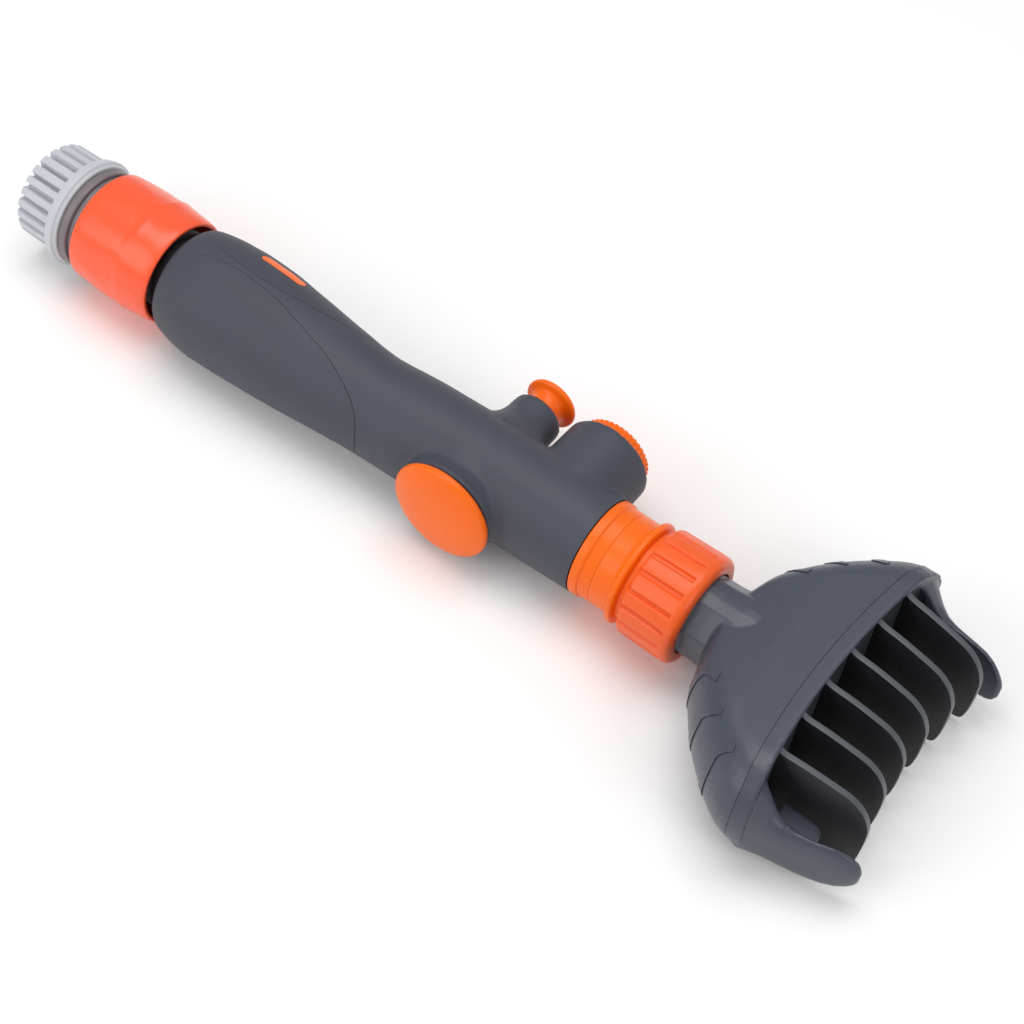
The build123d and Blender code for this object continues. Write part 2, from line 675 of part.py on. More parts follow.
def fin(y):
    """One thin comb fin with a round front, leaning in plan towards the point where all six would meet."""
    root = SEAM_X + PLATE_FRONT + y * y / (2 * SEAM_R)
    reach = COMB_X + y * y / (2 * COMB_R) - root
    top = FAN_HALF_HEIGHT - LIP_WALL
    outline = make_face(Polyline(
        (0, top), (2, top - 0.6), (8, 14.2), (reach - 9.5, 12.9), (reach - 5.5, 11.2),
        (reach - 2.5, 8.3), (reach - 0.6, 4.4), (reach, 1.0), (reach, -6.0), (reach - 0.5, -12.5),
        (reach - 1.5, -15.5), (reach - 3.5, -16.2), (4, -16.0), (0, -top), close=True,
    ))
    upright = Plane((root, y, 0), x_dir=(COMB_MEET, -y, 0), z_dir=(-y, -COMB_MEET, 0))
    return extrude(upright * outline, FIN_THICK / 2, both=True)


def comb_fins(frame, plate):
    """The fins of the comb, trimmed where they meet the frame and the plate."""
    fins = [fin((i - (FINS - 1) / 2) * FIN_PITCH) - frame - plate for i in range(FINS)]
    return Compound(fins)


# ---- build and save ----
form = grip_form()
inner_form = grip_form(PAD_DEPTH)
pads = [palm_pad(form, inner_form), far_palm_pad(form, inner_form)]
inlay = top_inlay(form, grip_form(INLAY_DEPTH))
pads[1] -= inlay
frame = comb_frame()
plate = nozzle_plate()

pieces = {
    "hose_nut": hose_nut(),
    "hose_collet": hose_collet(),
    "connector_body": connector_body(),
    "connector_seal": connector_seal(),
    "release_sleeve": release_sleeve(),
    "sleeve_spring": sleeve_spring(),
    "inlet_spigot": inlet_spigot(),
    "spigot_o_ring": spigot_o_ring(),
    "handle_core": handle_core(),
    "grip_shell": grip_shell(form, pads + [inlay]),
    "palm_pad": pads[0],
    "far_palm_pad": pads[1],
    "top_inlay": inlay,
    "push_button": push_button(),
    "valve_spool": valve_spool(),
    "spool_seals": spool_seals(),
    "guide_bush": guide_bush(),
    "push_knob": push_knob(),
    "regulator_cap": regulator_cap(),
    "regulator_spindle": regulator_spindle(),
    "regulator_seal": regulator_seal(),
    "regulator_seat": regulator_seat(),
    "front_collar": front_collar(),
    "outlet_nipple": outlet_nipple(),
    "union_washer": union_washer(),
    "union_nut": union_nut(),
    "head_rear_shell": head_rear_shell(),
    "comb_frame": frame,
    "nozzle_plate": plate,
    "head_gasket": head_gasket(),
    "comb_fins": comb_fins(frame, plate),
}
for index in range(CLAWS):
    pieces[f"lock_claw_{index + 1}"] = lock_claw(index)

for name, piece in pieces.items():
    export_step(piece, f"parts/{name}.step")
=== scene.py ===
import json
import math

import bpy
from mathutils import Matrix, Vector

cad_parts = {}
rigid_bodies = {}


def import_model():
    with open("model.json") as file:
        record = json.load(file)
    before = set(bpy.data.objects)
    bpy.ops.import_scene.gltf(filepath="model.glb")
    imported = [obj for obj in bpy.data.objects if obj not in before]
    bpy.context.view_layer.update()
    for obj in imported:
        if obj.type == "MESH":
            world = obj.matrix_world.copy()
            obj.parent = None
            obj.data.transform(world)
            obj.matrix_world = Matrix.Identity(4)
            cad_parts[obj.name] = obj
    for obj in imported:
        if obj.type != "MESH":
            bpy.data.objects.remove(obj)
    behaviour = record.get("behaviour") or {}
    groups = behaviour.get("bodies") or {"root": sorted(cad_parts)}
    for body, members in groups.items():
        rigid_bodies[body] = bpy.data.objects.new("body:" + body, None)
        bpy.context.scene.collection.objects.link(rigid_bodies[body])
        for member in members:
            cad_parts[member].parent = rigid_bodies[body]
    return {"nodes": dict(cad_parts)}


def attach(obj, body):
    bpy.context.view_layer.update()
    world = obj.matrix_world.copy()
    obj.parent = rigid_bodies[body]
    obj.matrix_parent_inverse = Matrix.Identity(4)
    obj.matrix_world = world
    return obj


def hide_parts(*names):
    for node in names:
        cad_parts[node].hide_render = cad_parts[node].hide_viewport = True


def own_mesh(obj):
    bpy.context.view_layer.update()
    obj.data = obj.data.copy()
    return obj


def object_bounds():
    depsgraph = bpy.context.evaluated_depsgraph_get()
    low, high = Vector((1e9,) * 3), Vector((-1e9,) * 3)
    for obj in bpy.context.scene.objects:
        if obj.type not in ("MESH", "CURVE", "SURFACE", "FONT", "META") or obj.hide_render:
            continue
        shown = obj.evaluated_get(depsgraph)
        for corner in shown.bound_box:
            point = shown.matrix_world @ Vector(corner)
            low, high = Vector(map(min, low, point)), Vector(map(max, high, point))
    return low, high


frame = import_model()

cad_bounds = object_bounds()


# ---- Camera ----
# A long lens above the button side of the wand, rolled a few degrees.
# The lens, the place and the three axes of the view are set together.
camera_data = bpy.data.cameras.new("camera")
camera_data.lens = 75.88
camera_data.sensor_width = 36
camera_data.clip_start = 0.01
camera = bpy.data.objects.new("camera", camera_data)
bpy.context.scene.collection.objects.link(camera)
bpy.context.scene.camera = camera
view_right = (0.79271, 0.60396, 0.08272)
view_up = (-0.52285, 0.60385, 0.60166)
view_back = (0.31343, -0.52019, 0.79446)
camera.matrix_world = Matrix.Translation((0.36897, -0.31772, 0.47562)) @ Matrix(
    (view_right, view_up, view_back)
).transposed().to_4x4()


# ---- Floor and light ----
# A plain pale floor just under the wand and an even white sky.
# One broad lamp hangs overhead, one stands low on the button side and one behind the comb.
bpy.context.scene.view_settings.view_transform = "Standard"
floor_drop = 0.0001
bpy.ops.object.select_all(action="DESELECT")
bpy.ops.mesh.primitive_plane_add(size=30, location=(0.15, 0, cad_bounds[0][2] - floor_drop))
floor = bpy.context.object
floor.name = "floor"
floor_paint = bpy.data.materials.new("floor_paint")
floor_paint.use_nodes = True
floor_paint.node_tree.nodes["Principled BSDF"].inputs["Base Color"].default_value = (1, 1, 1, 1)
floor_paint.node_tree.nodes["Principled BSDF"].inputs["Roughness"].default_value = 0.95
floor.data.materials.append(floor_paint)

sky = bpy.data.worlds.new("sky")
bpy.context.scene.world = sky
sky.use_nodes = True
sky.node_tree.nodes["Background"].inputs["Color"].default_value = (1, 1, 1, 1)
sky.node_tree.nodes["Background"].inputs["Strength"].default_value = 0.52


def lamp(name, place, aim, width, height, power):
    """A soft box: an area lamp at a place, turned towards a point."""
    data = bpy.data.lights.new(name, "AREA")
    data.shape = "RECTANGLE"
    data.size = width
    data.size_y = height
    data.energy = power
    box = bpy.data.objects.new(name, data)
    bpy.context.scene.collection.objects.link(box)
    reach = Matrix.Translation(aim).translation - Matrix.Translation(place).translation
    box.matrix_world = Matrix.Translation(place) @ reach.to_track_quat("-Z", "Y").to_matrix().to_4x4()


lamp("overhead", (0.05, 0.1, 0.9), (0.16, 0, 0), 0.9, 0.5, 4.15)
lamp("button_side", (-0.25, -0.7, 0.5), (0.12, 0, 0), 0.6, 0.6, 2.2)
lamp("comb_side", (0.85, -0.1, 0.35), (0.28, 0, 0), 0.3, 0.3, 0.7)


# ---- Hose nut ----
# Ribbed nut that squeezes the collet on the hose, moulded in light grey plastic.
# Turned about the wand's axis; its grooves are pressed in between the ribs, up to a stepped flange.
mm = 0.001


def only(*pieces):
    """Back to object mode, with these pieces picked and nothing else."""
    if bpy.context.mode != "OBJECT":
        bpy.ops.object.mode_set(mode="OBJECT")
    bpy.ops.object.select_all(action="DESELECT")
    for piece in pieces:
        piece.select_set(True)
        bpy.context.view_layer.objects.active = piece


def turned(name, axis, stations, centre_x=0, sides=144, bored=False):
    """A piece turned about X, or about a line along Y at centre_x, from (place, radius) stations.
    A third number at a station moves its centre sideways. A bored piece closes on its first station."""
    only()
    along = 0 if axis == "X" else 1

    def centre(station):
        place = [centre_x * mm, 0, 0]
        place[along] = station[0] * mm
        if len(station) == 3:
            place[1] = station[2] * mm
        return place

    bpy.ops.mesh.primitive_circle_add(
        vertices=sides,
        radius=stations[0][1] * mm,
        fill_type="NOTHING" if bored else "NGON",
        location=centre(stations[0]),
        rotation=(0, math.pi / 2, 0) if axis == "X" else (math.pi / 2, 0, 0),
    )
    piece = bpy.context.object
    piece.name = name
    bpy.ops.object.transform_apply(location=True, rotation=True, scale=True)
    bpy.ops.object.mode_set(mode="EDIT")
    bpy.ops.mesh.select_all(action="SELECT")
    route = list(stations) + (list(stations[:1]) if bored else [])
    for last, station in zip(route, route[1:]):
        step = [b - a for a, b in zip(centre(last), centre(station))]
        bpy.ops.mesh.extrude_region_move(TRANSFORM_OT_translate={"value": step})
        growth = [station[1] / last[1]] * 3
        growth[along] = 1
        bpy.ops.transform.resize(value=growth, center_override=centre(station))
    bpy.ops.mesh.select_all(action="SELECT")
    bpy.ops.mesh.remove_doubles(threshold=1e-6)
    bpy.ops.mesh.normals_make_consistent(inside=False)
    bpy.ops.object.mode_set(mode="OBJECT")
    return piece


def picked(piece, wanted):
    """Opens a piece with only those vertices picked whose place, in mm, is wanted."""
    only(piece)
    bpy.ops.object.mode_set(mode="EDIT")
    bpy.ops.mesh.select_mode(type="VERT")
    bpy.ops.mesh.select_all(action="DESELECT")
    bpy.ops.object.mode_set(mode="OBJECT")
    for vertex in piece.data.vertices:
        vertex.select = wanted(vertex.co / mm)
    bpy.ops.object.mode_set(mode="EDIT")


def around(place, count):
    """Where a point stands within the even pitch of a ribbed ring about X, from 0 to 1."""
    return math.atan2(place.z, place.y) / math.tau * count % 1


def softened(piece, width, angle=30, segments=3):
    """Rounds a piece's sharp edges, and shades the rest smooth."""
    only(piece)
    bevel = piece.modifiers.new("edges", "BEVEL")
    bevel.width = width * mm
    bevel.segments = segments
    bevel.limit_method = "ANGLE"
    bevel.angle_limit = math.radians(angle)
    bpy.ops.object.modifier_apply(modifier=bevel.name)
    bpy.ops.object.shade_smooth_by_angle(angle=math.radians(angle + 5))
    return piece


class Grade:
    """A value that varies over a finish. Arithmetic on it adds Math nodes, and made adds any other node."""

    def __init__(self, tree, socket):
        self.tree = tree
        self.socket = socket

    def made(self, kind, settings, sockets, out=0):
        node = self.tree.nodes.new(kind)
        for setting, value in settings.items():
            setattr(node, setting, value)
        for name, value in sockets.items():
            if isinstance(value, Grade):
                self.tree.links.new(value.socket, node.inputs[name])
            else:
                node.inputs[name].default_value = value
        return Grade(self.tree, node.outputs[out])

    def maths(self, operation, first, second):
        return self.made("ShaderNodeMath", {"operation": operation}, {0: first, 1: second})

    def __add__(self, other):
        return self.maths("ADD", self, other)

    __radd__ = __add__

    def __sub__(self, other):
        return self.maths("SUBTRACT", self, other)

    def __rsub__(self, other):
        return self.maths("SUBTRACT", other, self)

    def __mul__(self, other):
        return self.maths("MULTIPLY", self, other)

    __rmul__ = __mul__

    def __gt__(self, other):
        return self.maths("GREATER_THAN", self, other)

    def __lt__(self, other):
        return self.maths("LESS_THAN", self, other)


def moulded(
    name, colour, roughness, cloud=0.05, grain=0.02, grain_size=0.25, dust=0.0, gloss_change=0.05, shine=0.5
):
    """Moulded plastic: slow clouding of its colour and gloss, a fine skin, and a few specks of dust."""
    paint = bpy.data.materials.new(name)
    paint.use_nodes = True
    tree = paint.node_tree
    shader = tree.nodes["Principled BSDF"]
    shader.inputs["IOR"].default_value = 1.5
    shader.inputs["Specular IOR Level"].default_value = shine
    place = Grade(tree, tree.nodes.new("ShaderNodeTexCoord").outputs["Object"])
    slow = place.made("ShaderNodeTexNoise", {}, {"Vector": place, "Scale": 60, "Detail": 4, "Roughness": 0.6})
    grains = 1 / (grain_size * mm)
    grained = {"Vector": place, "Scale": grains, "Detail": 2, "Roughness": 0.5}
    fine = place.made("ShaderNodeTexNoise", {}, grained)
    skin = place.made("ShaderNodeTexNoise", {}, {"Vector": place, "Scale": 700, "Detail": 3, "Roughness": 0.6})
    dark = [channel * (1 - cloud) for channel in colour] + [1]
    light = [min(1, channel * (1 + cloud)) for channel in colour] + [1]
    blend = {"data_type": "RGBA"}
    mottle = (slow - 0.5) * 1.6 + (skin - 0.5) * 0.8 + 0.5
    base = place.made("ShaderNodeMix", blend, {0: mottle, 6: dark, 7: light}, 2)
    if dust:
        scatter = {"Vector": place, "Scale": 210, "Randomness": 1}
        reach = place.made("ShaderNodeTexVoronoi", {}, scatter)
        shade = place.made("ShaderNodeTexVoronoi", {}, scatter, 1)
        chance = place.made("ShaderNodeSeparateColor", {}, {0: shade})
        speck = (reach < 0.035 + 0.03 * chance) * (chance > 1 - dust)
        base = place.made("ShaderNodeMix", blend, {0: speck * 0.75, 6: base, 7: (0.55, 0.56, 0.58, 1)}, 2)
    tree.links.new(base.socket, shader.inputs["Base Color"])
    satin = roughness + (slow - 0.5) * gloss_change + (skin - 0.5) * gloss_change
    tree.links.new(satin.socket, shader.inputs["Roughness"])
    bump = place.made("ShaderNodeBump", {}, {"Strength": 0.5, "Distance": grain * mm, "Height": fine})
    tree.links.new(bump.socket, shader.inputs["Normal"])
    return paint


def finished(piece, paint, body, slot, *nodes):
    """Paints a piece, fixes it to its body, and lets it stand for its CAD nodes."""
    piece.data.materials.clear()
    piece.data.materials.append(paint)
    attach(piece, body)
    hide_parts(*nodes)


nut_grey = moulded("nut_grey", (0.54, 0.56, 0.60), 0.42, cloud=0.04, grain=0.02, dust=0.02)
nut_ribs = 24
nut_points = 8
groove_r, rib_foot_r, rib_top_r, ribs_end_x = 13.3, 14.5, 15.6, 12.45
hose_nut = turned(
    "hose_nut_ribbed",
    "X",
    [
        (0, 9.5), (0, 15.0), (0.7, 15.6), (12.4, 15.75), (12.6, 15.9), (12.9, 16.9), (14.6, 17.4),
        (15.9, 17.55),
        (16.3, 16.9), (17.2, 16.5), (17.2, 13.2), (2.6, 13.2), (2.6, 9.5),
    ],
    sides=nut_ribs * nut_points,
    bored=True,
)
picked(
    hose_nut,
    lambda v: v.x < ribs_end_x and math.hypot(v.y, v.z) > rib_foot_r and around(v, nut_ribs) < 2.5 / nut_points,
)
bpy.ops.transform.resize(value=(1, groove_r / rib_top_r, groove_r / rib_top_r), center_override=(0, 0, 0))
softened(hose_nut, 0.28)
finished(hose_nut, nut_grey, "hose_nut", "light_grey", "hose_nut")


# ---- Hose connector ----
# Grey barrel behind the sleeve: barbed hose tail, stop ring and the bore that takes the spigot.
# Turned from light grey plastic, with three windows for the lock claws.
connector_grey = moulded("connector_grey", (0.19, 0.16, 0.17), 0.4, cloud=0.04, grain=0.02)
window_x, window_z, window_length, window_width, window_depth = 43.0, 12, 4.8, 6.8, 10


def cut(piece, cutter, operation="DIFFERENCE"):
    """Cuts a piece with a cutter, or keeps what they share, and throws the cutter away."""
    boolean = piece.modifiers.new("cut", "BOOLEAN")
    boolean.object = cutter
    boolean.operation = operation
    boolean.solver = "EXACT"
    only(piece)
    bpy.ops.object.modifier_apply(modifier=boolean.name)
    bpy.data.objects.remove(cutter)
    return piece


connector = turned(
    "connector_barrel",
    "X",
    [
        (0, 4.5), (0, 5.6), (1.2, 6.3), (4, 6.5), (4.2, 5.9), (7.6, 6.5), (7.8, 5.9), (11.2, 6.5),
        (11.4, 5.9),
        (14, 6.3), (14, 7.4), (16, 7.4), (16, 12.8), (17.35, 12.8), (17.35, 15.6), (17.8, 16), (20, 16),
        (20.4, 15.6), (20.4, 14.8), (28, 14.8), (28, 12.9), (50, 12.9), (50, 9.2), (24, 9.2), (24, 4.5),
    ],
    bored=True,
)
softened(connector, 0.2)
for turn in (0, 120, 240):
    only()
    bpy.ops.mesh.primitive_cube_add(size=mm, location=(window_x * mm, 0, window_z * mm))
    bpy.ops.transform.resize(value=(window_length, window_width, window_depth))
    bpy.ops.transform.rotate(value=math.radians(turn), orient_axis="X", center_override=(0, 0, 0))
    cut(connector, bpy.context.object)
finished(connector, connector_grey, "connector", "light_grey", "connector_body")


# ---- Release sleeve ----
# Sleeve drawn back by two fingers to free the spigot, moulded in glossy red-orange plastic.
# Turned with a crest near its front; shallow triangular facets are pressed in behind the crest.
sleeve_red = moulded("sleeve_red", (1.0, 0.105, 0.03), 0.26, cloud=0.05, grain=0.006, gloss_change=0.06)
facets = 6
facet_turn = 0.325
facet_start, facet_end, facet_depth = 26.0, 41.0, 0.5
skin_r, crest_r = 17.4, 18
sleeve = turned(
    "release_sleeve_faceted",
    "X",
    [
        (23.2, 16.5), (23.2, 17.0), (23.5, 17.35), (25.0, 17.5), (26.5, 17.6), (28, 17.68),
        (29.5, 17.74), (31, 17.82),
        (32.5, 17.9), (34, 17.96), (35.5, 18.02), (37, 18.08), (38.5, 18.14), (40, 18.18), (40.9, 18.2),
        (42.2, 18.2),
        (43.4, 17.95), (46, 17.75), (49.5, 17.4), (52.3, 17.05), (53.0, 16.7), (53.1, 16.2),
        (52.9, 15.7), (49, 15.4),
        (41, 13.2), (38.4, 13.2), (38.4, 15.1), (28.4, 15.1), (28.4, 16.3), (24, 16.3),
    ],
    sides=facets * 32,
    bored=True,
)
for vertex in sleeve.data.vertices:
    place = vertex.co / mm
    if facet_start < place.x < facet_end and math.hypot(place.y, place.z) > skin_r:
        share = (place.x - facet_start) / (facet_end - facet_start)
        off_middle = abs((around(place, facets) - facet_turn) % 1 - 0.5) * 2
        hollow = facet_depth * share * max(0, 1 - (off_middle / share) ** 2)
        vertex.co.yz *= 1 - hollow / crest_r
softened(sleeve, 0.15, angle=40)
finished(sleeve, sleeve_red, "sleeve", "red_orange", "release_sleeve")


# ---- Grip ----
# Long waisted handle with a seat for the push button and two bosses, moulded in dark grey
# soft-touch plastic around a hard core. Turned bodies are fused, their joints smoothed to
# fillets, and the bores for the core, the valve and the regulator are cut through.
soft_grey = moulded(
    "soft_grey", (0.050, 0.055, 0.076), 0.55, cloud=0.07, grain=0.018, grain_size=0.18, dust=0.05
)


def copied(piece, name):
    """A copy of a piece with its own mesh."""
    only(piece)
    bpy.ops.object.duplicate()
    copy = bpy.context.object
    copy.name = name
    return copy


def fused(name, parts, cell, passes):
    """Joins parts into one skin of small even faces, and smooths their joints into fillets."""
    only(*parts)
    bpy.ops.object.join()
    piece = bpy.context.object
    piece.name = name
    skin = piece.modifiers.new("skin", "REMESH")
    skin.mode = "VOXEL"
    skin.voxel_size = cell * mm
    bpy.ops.object.modifier_apply(modifier=skin.name)
    smooth = piece.modifiers.new("fillets", "SMOOTH")
    smooth.factor = 0.5
    smooth.iterations = passes
    bpy.ops.object.modifier_apply(modifier=smooth.name)
    return piece


def sliced(piece, x, keep_front):
    """Cuts a piece clean across the wand at x and closes it."""
    only(piece)
    bpy.ops.object.mode_set(mode="EDIT")
    bpy.ops.mesh.select_all(action="SELECT")
    bpy.ops.mesh.bisect(
        plane_co=(x * mm, 0, 0),
        plane_no=(1, 0, 0),
        use_fill=True,
        clear_inner=keep_front,
        clear_outer=not keep_front,
    )
    bpy.ops.object.mode_set(mode="OBJECT")


grip_front_x = 206.3
grip_line = [
    (56.2, 16.5, -0.3), (57.3, 17.1, -0.4), (59, 17.6, -0.5), (62, 18.2, -0.6), (66, 18.8, -0.7),
    (70, 19.05, -0.8),
    (74, 19.15, -0.6), (80, 19.0, -0.6), (86, 18.7, -0.6), (93, 18.1, -0.95), (102.6, 17.25, -1.25),
    (108, 16.65, -1.4), (115, 16.0, -1.5), (121, 15.35, -1.65), (127, 15.0, -1.6), (132, 15.05, -1.3),
    (137, 15.2, -0.9), (143, 15.4, -0.6), (150, 15.4, -0.3), (157, 15.4, 0), (175, 15.4, 0), (190, 15.3, 0),
    (200, 15.05, 0),
]
grip_body = turned(
    "grip_body", "X", [(55.3, 15.1, -0.3), (55.6, 15.8, -0.3)] + grip_line + [(212, 14.75, 0)], sides=160
)
valve_x = 166.1
flow_x = 190.6
button_seat = turned(
    "button_seat",
    "Y",
    [(2, 21), (-6, 19.6), (-11, 17.6), (-14.5, 16.1), (-16.6, 15.5), (-17.2, 15.2)],
    centre_x=valve_x,
)
picked(button_seat, lambda v: v.y > -12)
bpy.ops.transform.resize(value=(1, 1, 0.72), center_override=(valve_x * mm, 0, 0))
picked(button_seat, lambda v: -15 < v.y < -12)
bpy.ops.transform.resize(value=(1, 1, 0.88), center_override=(valve_x * mm, 0, 0))
knob_boss = turned(
    "knob_boss", "Y", [(0, 12.4), (11, 12.0), (14, 10.6), (17, 9.1), (20, 8.3), (26.3, 8.1)], centre_x=valve_x
)
flow_boss = turned("flow_boss", "Y", [(0, 14.4), (14, 13.95), (26.7, 13.85)], centre_x=flow_x)
grip_solid = fused("grip_solid", [grip_body, button_seat, knob_boss, flow_boss], 0.65, 12)
sliced(grip_solid, grip_front_x, keep_front=False)


def traced(name, corners, view, low, high):
    """A prism over an outline, traced corner by corner in one view, filled and pulled through."""

    def place(corner):
        if view == "plan":
            return (corner[0] * mm, corner[1] * mm, low * mm)
        if view == "side":
            return (corner[0] * mm, low * mm, corner[1] * mm)
        return (low * mm, corner[0] * mm, corner[1] * mm)

    only()
    bpy.ops.mesh.primitive_plane_add(size=mm, location=place(corners[0]))
    piece = bpy.context.object
    piece.name = name
    bpy.ops.object.transform_apply(location=True, rotation=True, scale=True)
    bpy.ops.object.mode_set(mode="EDIT")
    bpy.ops.mesh.select_mode(type="VERT")
    bpy.ops.mesh.select_all(action="SELECT")
    bpy.ops.mesh.merge(type="CENTER")
    for last, corner in zip(corners, corners[1:] + corners[:1]):
        step = [b - a for a, b in zip(place(last), place(corner))]
        bpy.ops.mesh.extrude_region_move(TRANSFORM_OT_translate={"value": step})
    bpy.ops.mesh.select_all(action="SELECT")
    bpy.ops.mesh.remove_doubles(threshold=1e-6)
    bpy.ops.mesh.select_all(action="SELECT")
    bpy.ops.mesh.edge_face_add()
    pull = (high - low) * mm
    pulls = {"plan": (0, 0, pull), "side": (0, pull, 0), "rear": (pull, 0, 0)}
    bpy.ops.mesh.extrude_region_move(TRANSFORM_OT_translate={"value": pulls[view]})
    bpy.ops.mesh.select_all(action="SELECT")
    bpy.ops.mesh.normals_make_consistent(inside=False)
    bpy.ops.object.mode_set(mode="OBJECT")
    return piece


def through_points(points, steps):
    """A soft line through points: each span is divided and eased by its neighbours."""
    line = []
    for i in range(len(points) - 1):
        before, start = points[max(i - 1, 0)], points[i]
        end, after = points[i + 1], points[min(i + 2, len(points) - 1)]
        for step in range(steps):
            t = step / steps
            line.append(tuple(
                0.5 * (2 * b + (c - a) * t + (2 * a - 5 * b + 4 * c - d) * t**2
                       + (3 * b - a - 3 * c + d) * t**3)
                for a, b, c, d in zip(before, start, end, after)
            ))
    return line + [points[-1]]


# ---- Palm pads and inlay ----
# Two thin soft pads moulded into pockets on the sides of the grip, each running to a round nose,
# and a plain orange inlay on top. Each is cut from the grip's own skin, with a hairline joint.
pad_seam = through_points(
    [
        (50, -9.5), (55.4, -7.2), (58.7, -5.3), (62.3, -3.6), (70, -1.6), (80, -0.9), (92, -1.8),
        (100.5, -3.6),
        (113.8, -6.5), (124.5, -10.4), (130, -13.4), (133, -16.3), (134, -19), (134.2, -22),
    ],
    4,
)
pad_depth = 1.6
joint_gap = 0.1
inlay_x, inlay_y, inlay_length, inlay_width, inlay_depth = 84, 10, 16, 3.5, 1


def hollowed(form, depth):
    """Takes the grip's inner form, this deep below its skin, out of a form."""
    line = [(40, 16 - depth, -0.3)] + [(x, r - depth, y) for x, r, y in grip_line] + [(212, 14.7 - depth, 0)]
    return cut(form, turned("core", "X", line, sides=160))


def pocket_form(side, gap, depth):
    """The space of one pad: a plan outline pulled through the grip, less the grip's inner form."""
    outline = [(x - gap, side * (y - gap)) for x, y in pad_seam] + [(134 - gap, side * -30), (50, side * -30)]
    return hollowed(traced("pocket", outline, "plan", -30, 30), depth)


def inlay_form(gap, depth):
    """The space of the inlay: a slot-shaped column from the top, less the grip's inner form."""
    end_r = inlay_width / 2 - gap
    reach = (inlay_length - inlay_width) / 2
    outline = [
        (inlay_x + side * (reach + end_r * math.sin(turn)), inlay_y + side * end_r * math.cos(turn))
        for side in (1, -1)
        for turn in [math.pi * step / 16 for step in range(17)]
    ]
    return hollowed(traced("inlay_space", outline, "plan", 4, 26), depth)


pad_grey = moulded("pad_grey", (0.049, 0.054, 0.074), 0.58, cloud=0.07, grain=0.02, grain_size=0.2, dust=0.05)
orange = moulded("orange", (0.97, 0.15, 0.004), 0.32, cloud=0.05, grain=0.006, shine=0.28)
near_pad, far_pad = (
    cut(copied(grip_solid, name), pocket_form(side, joint_gap, pad_depth - 0.02), "INTERSECT")
    for name, side in (("near_palm_pad", 1), ("far_side_pad", -1))
)
cut(far_pad, inlay_form(-0.05, inlay_depth + 0.2))
inlay = cut(copied(grip_solid, "grip_inlay"), inlay_form(joint_gap, inlay_depth), "INTERSECT")
grip = copied(grip_solid, "grip_moulding")
cut(grip, pocket_form(1, 0, pad_depth))
cut(grip, pocket_form(-1, 0, pad_depth))
cut(grip, inlay_form(0, inlay_depth + 0.05))
bpy.data.objects.remove(grip_solid)
cut(grip, turned("core_bore", "X", [(50, 12.8), (56.2, 12.8), (56.2, 11), (215, 11)]))
button_bore = [(-20, 5.93), (-15.8, 5.93), (-15.8, 7.2), (22.4, 7.2), (22.4, 7.4), (30, 7.4)]
cut(grip, turned("button_bore", "Y", button_bore, valve_x))
cut(grip, turned("flow_bore", "Y", [(0, 12), (25, 12), (25, 9.9), (30, 9.9)], flow_x))
for piece in (near_pad, far_pad, inlay, grip):
    only(piece)
    bpy.ops.object.shade_smooth_by_angle(angle=math.radians(40))
finished(grip, soft_grey, "handle", "soft_grey", "grip_shell")
finished(near_pad, pad_grey, "handle", "soft_grey", "palm_pad")
finished(far_pad, pad_grey, "handle", "soft_grey", "far_palm_pad")
finished(inlay, orange, "handle", "orange", "top_inlay")


# ---- Push button, knob and bush ----
# Domed button at one end of the valve's spool and a mushroom knob at the other, with the
# countersunk bush that guides the knob's stem. All three are turned from orange plastic.
button = turned(
    "push_button_domed",
    "Y",
    [
        (-17.5, 14.9), (-17.7, 15.4), (-18.3, 15.84), (-19.2, 15.84), (-19.7, 15.6), (-20.1, 15.1),
        (-20.35, 14.6),
        (-20.7, 13.9), (-21.2, 12.3), (-21.65, 10.2), (-22.0, 7.6), (-22.25, 4.8), (-22.38, 2),
        (-22.4, 0.4),
    ],
    centre_x=valve_x,
)
softened(button, 0.12, angle=35)
finished(button, orange, "valve", "orange", "push_button")
knob = turned(
    "push_knob_mushroom",
    "Y",
    [
        (20.2, 5.2), (28.6, 5.2), (29.6, 5.35), (30.4, 5.7), (31.0, 6.2), (31.4, 6.9), (31.6, 7.8),
        (31.9, 8.15),
        (32.3, 8.3), (32.8, 8.28), (33.2, 8.05), (33.4, 7.6), (33.4, 0.5),
    ],
    centre_x=valve_x,
)
softened(knob, 0.15, angle=40)
finished(knob, orange, "valve", "orange", "push_knob")
bush = turned(
    "guide_bush_countersunk",
    "Y",
    [(22.4, 5.27), (22.4, 7.35), (26.2, 7.35), (26.25, 7.1), (26.2, 6.9), (24, 5.27)],
    centre_x=valve_x,
    bored=True,
)
softened(bush, 0.08)
finished(bush, orange, "handle", "orange", "guide_bush")


# ---- Flow regulator cap ----
# Knurled cap with the plug that turns in the large boss, turned from orange plastic.
# Its edge is pressed into forty ribs and a coin slot is sunk in its end.
cap_ribs = 40
cap = turned(
    "flow_cap_knurled",
    "Y",
    [
        (10, 9.53), (20.2, 9.53), (20.2, 8.4), (21.8, 8.4), (21.8, 9.53), (27, 9.53), (27, 11.2),
        (27.3, 11.5),
        (30.2, 11.5), (30.8, 10.8), (30.8, 9.6), (30.5, 9.4), (30.5, 0.5),
    ],
    centre_x=flow_x,
    sides=cap_ribs * 4,
)
picked(
    cap,
    lambda v: v.y > 27.1 and math.hypot(v.x - flow_x, v.z) > 10.5
    and (math.atan2(v.z, v.x - flow_x) / math.tau * cap_ribs) % 1 < 0.4,
)
bpy.ops.transform.resize(value=(0.965, 1, 0.965), center_override=(flow_x * mm, 0, 0))
softened(cap, 0.1)
slot_reach, slot_half = 7.5, 1
slot_corners = ((-1, -1), (1, -1), (1, 1), (-1, 1))
